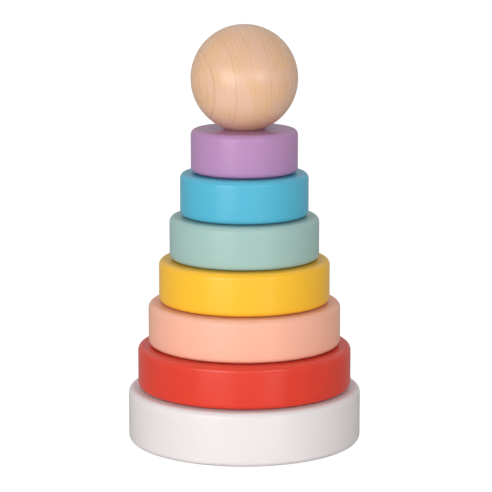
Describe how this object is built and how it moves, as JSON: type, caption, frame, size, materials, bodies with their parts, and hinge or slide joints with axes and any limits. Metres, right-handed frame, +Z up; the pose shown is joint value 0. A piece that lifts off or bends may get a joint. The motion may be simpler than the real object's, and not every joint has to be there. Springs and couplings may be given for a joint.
{
  "type": "rainbow stacker",
  "caption": "Wooden stacking toy: lacquered rings of falling diameter drop over a dowel glued into a round base, and a bored natural wood ball caps the stack.",
  "frame": {"origin": "middle of the base's underside, on the floor", "axes": "+Z up along the dowel; -Y faces the picture's camera; +X to the camera's right"},
  "size_m": [0.1, 0.1, 0.1793],
  "materials": {
    "white_lacquer": "satin",
    "red_lacquer": "satin",
    "peach_lacquer": "satin",
    "yellow_lacquer": "satin",
    "green_lacquer": "satin",
    "blue_lacquer": "satin",
    "purple_lacquer": "satin",
    "dowel_maple": "satin",
    "ball_maple": "satin"
  },
  "bodies": {
    "base": {"base_disc": "white_lacquer", "centre_dowel": "dowel_maple"},
    "red_ring": {"red_ring": "red_lacquer"},
    "peach_ring": {"peach_ring": "peach_lacquer"},
    "yellow_ring": {"yellow_ring": "yellow_lacquer"},
    "green_ring": {"green_ring": "green_lacquer"},
    "blue_ring": {"blue_ring": "blue_lacquer"},
    "purple_ring": {"purple_ring": "purple_lacquer"},
    "ball": {"ball_topper": "ball_maple"}
  },
  "joints": [
    {"name": "red_ring_lift", "type": "slide", "parent": "base", "child": "red_ring", "axis": [0, 0, 1], "range_m": [0, 0.1389]},
    {"name": "peach_ring_lift", "type": "slide", "parent": "red_ring", "child": "peach_ring", "axis": [0, 0, 1], "range_m": [0, 0.1202]},
    {"name": "yellow_ring_lift", "type": "slide", "parent": "peach_ring", "child": "yellow_ring", "axis": [0, 0, 1], "range_m": [0, 0.1016]},
    {"name": "green_ring_lift", "type": "slide", "parent": "yellow_ring", "child": "green_ring", "axis": [0, 0, 1], "range_m": [0, 0.0829]},
    {"name": "blue_ring_lift", "type": "slide", "parent": "green_ring", "child": "blue_ring", "axis": [0, 0, 1], "range_m": [0, 0.0643]},
    {"name": "purple_ring_lift", "type": "slide", "parent": "blue_ring", "child": "purple_ring", "axis": [0, 0, 1], "range_m": [0, 0.0457]},
    {"name": "ball_lift", "type": "slide", "parent": "purple_ring", "child": "ball", "axis": [0, 0, 1], "range_m": [0, 0.027]}
  ]
}
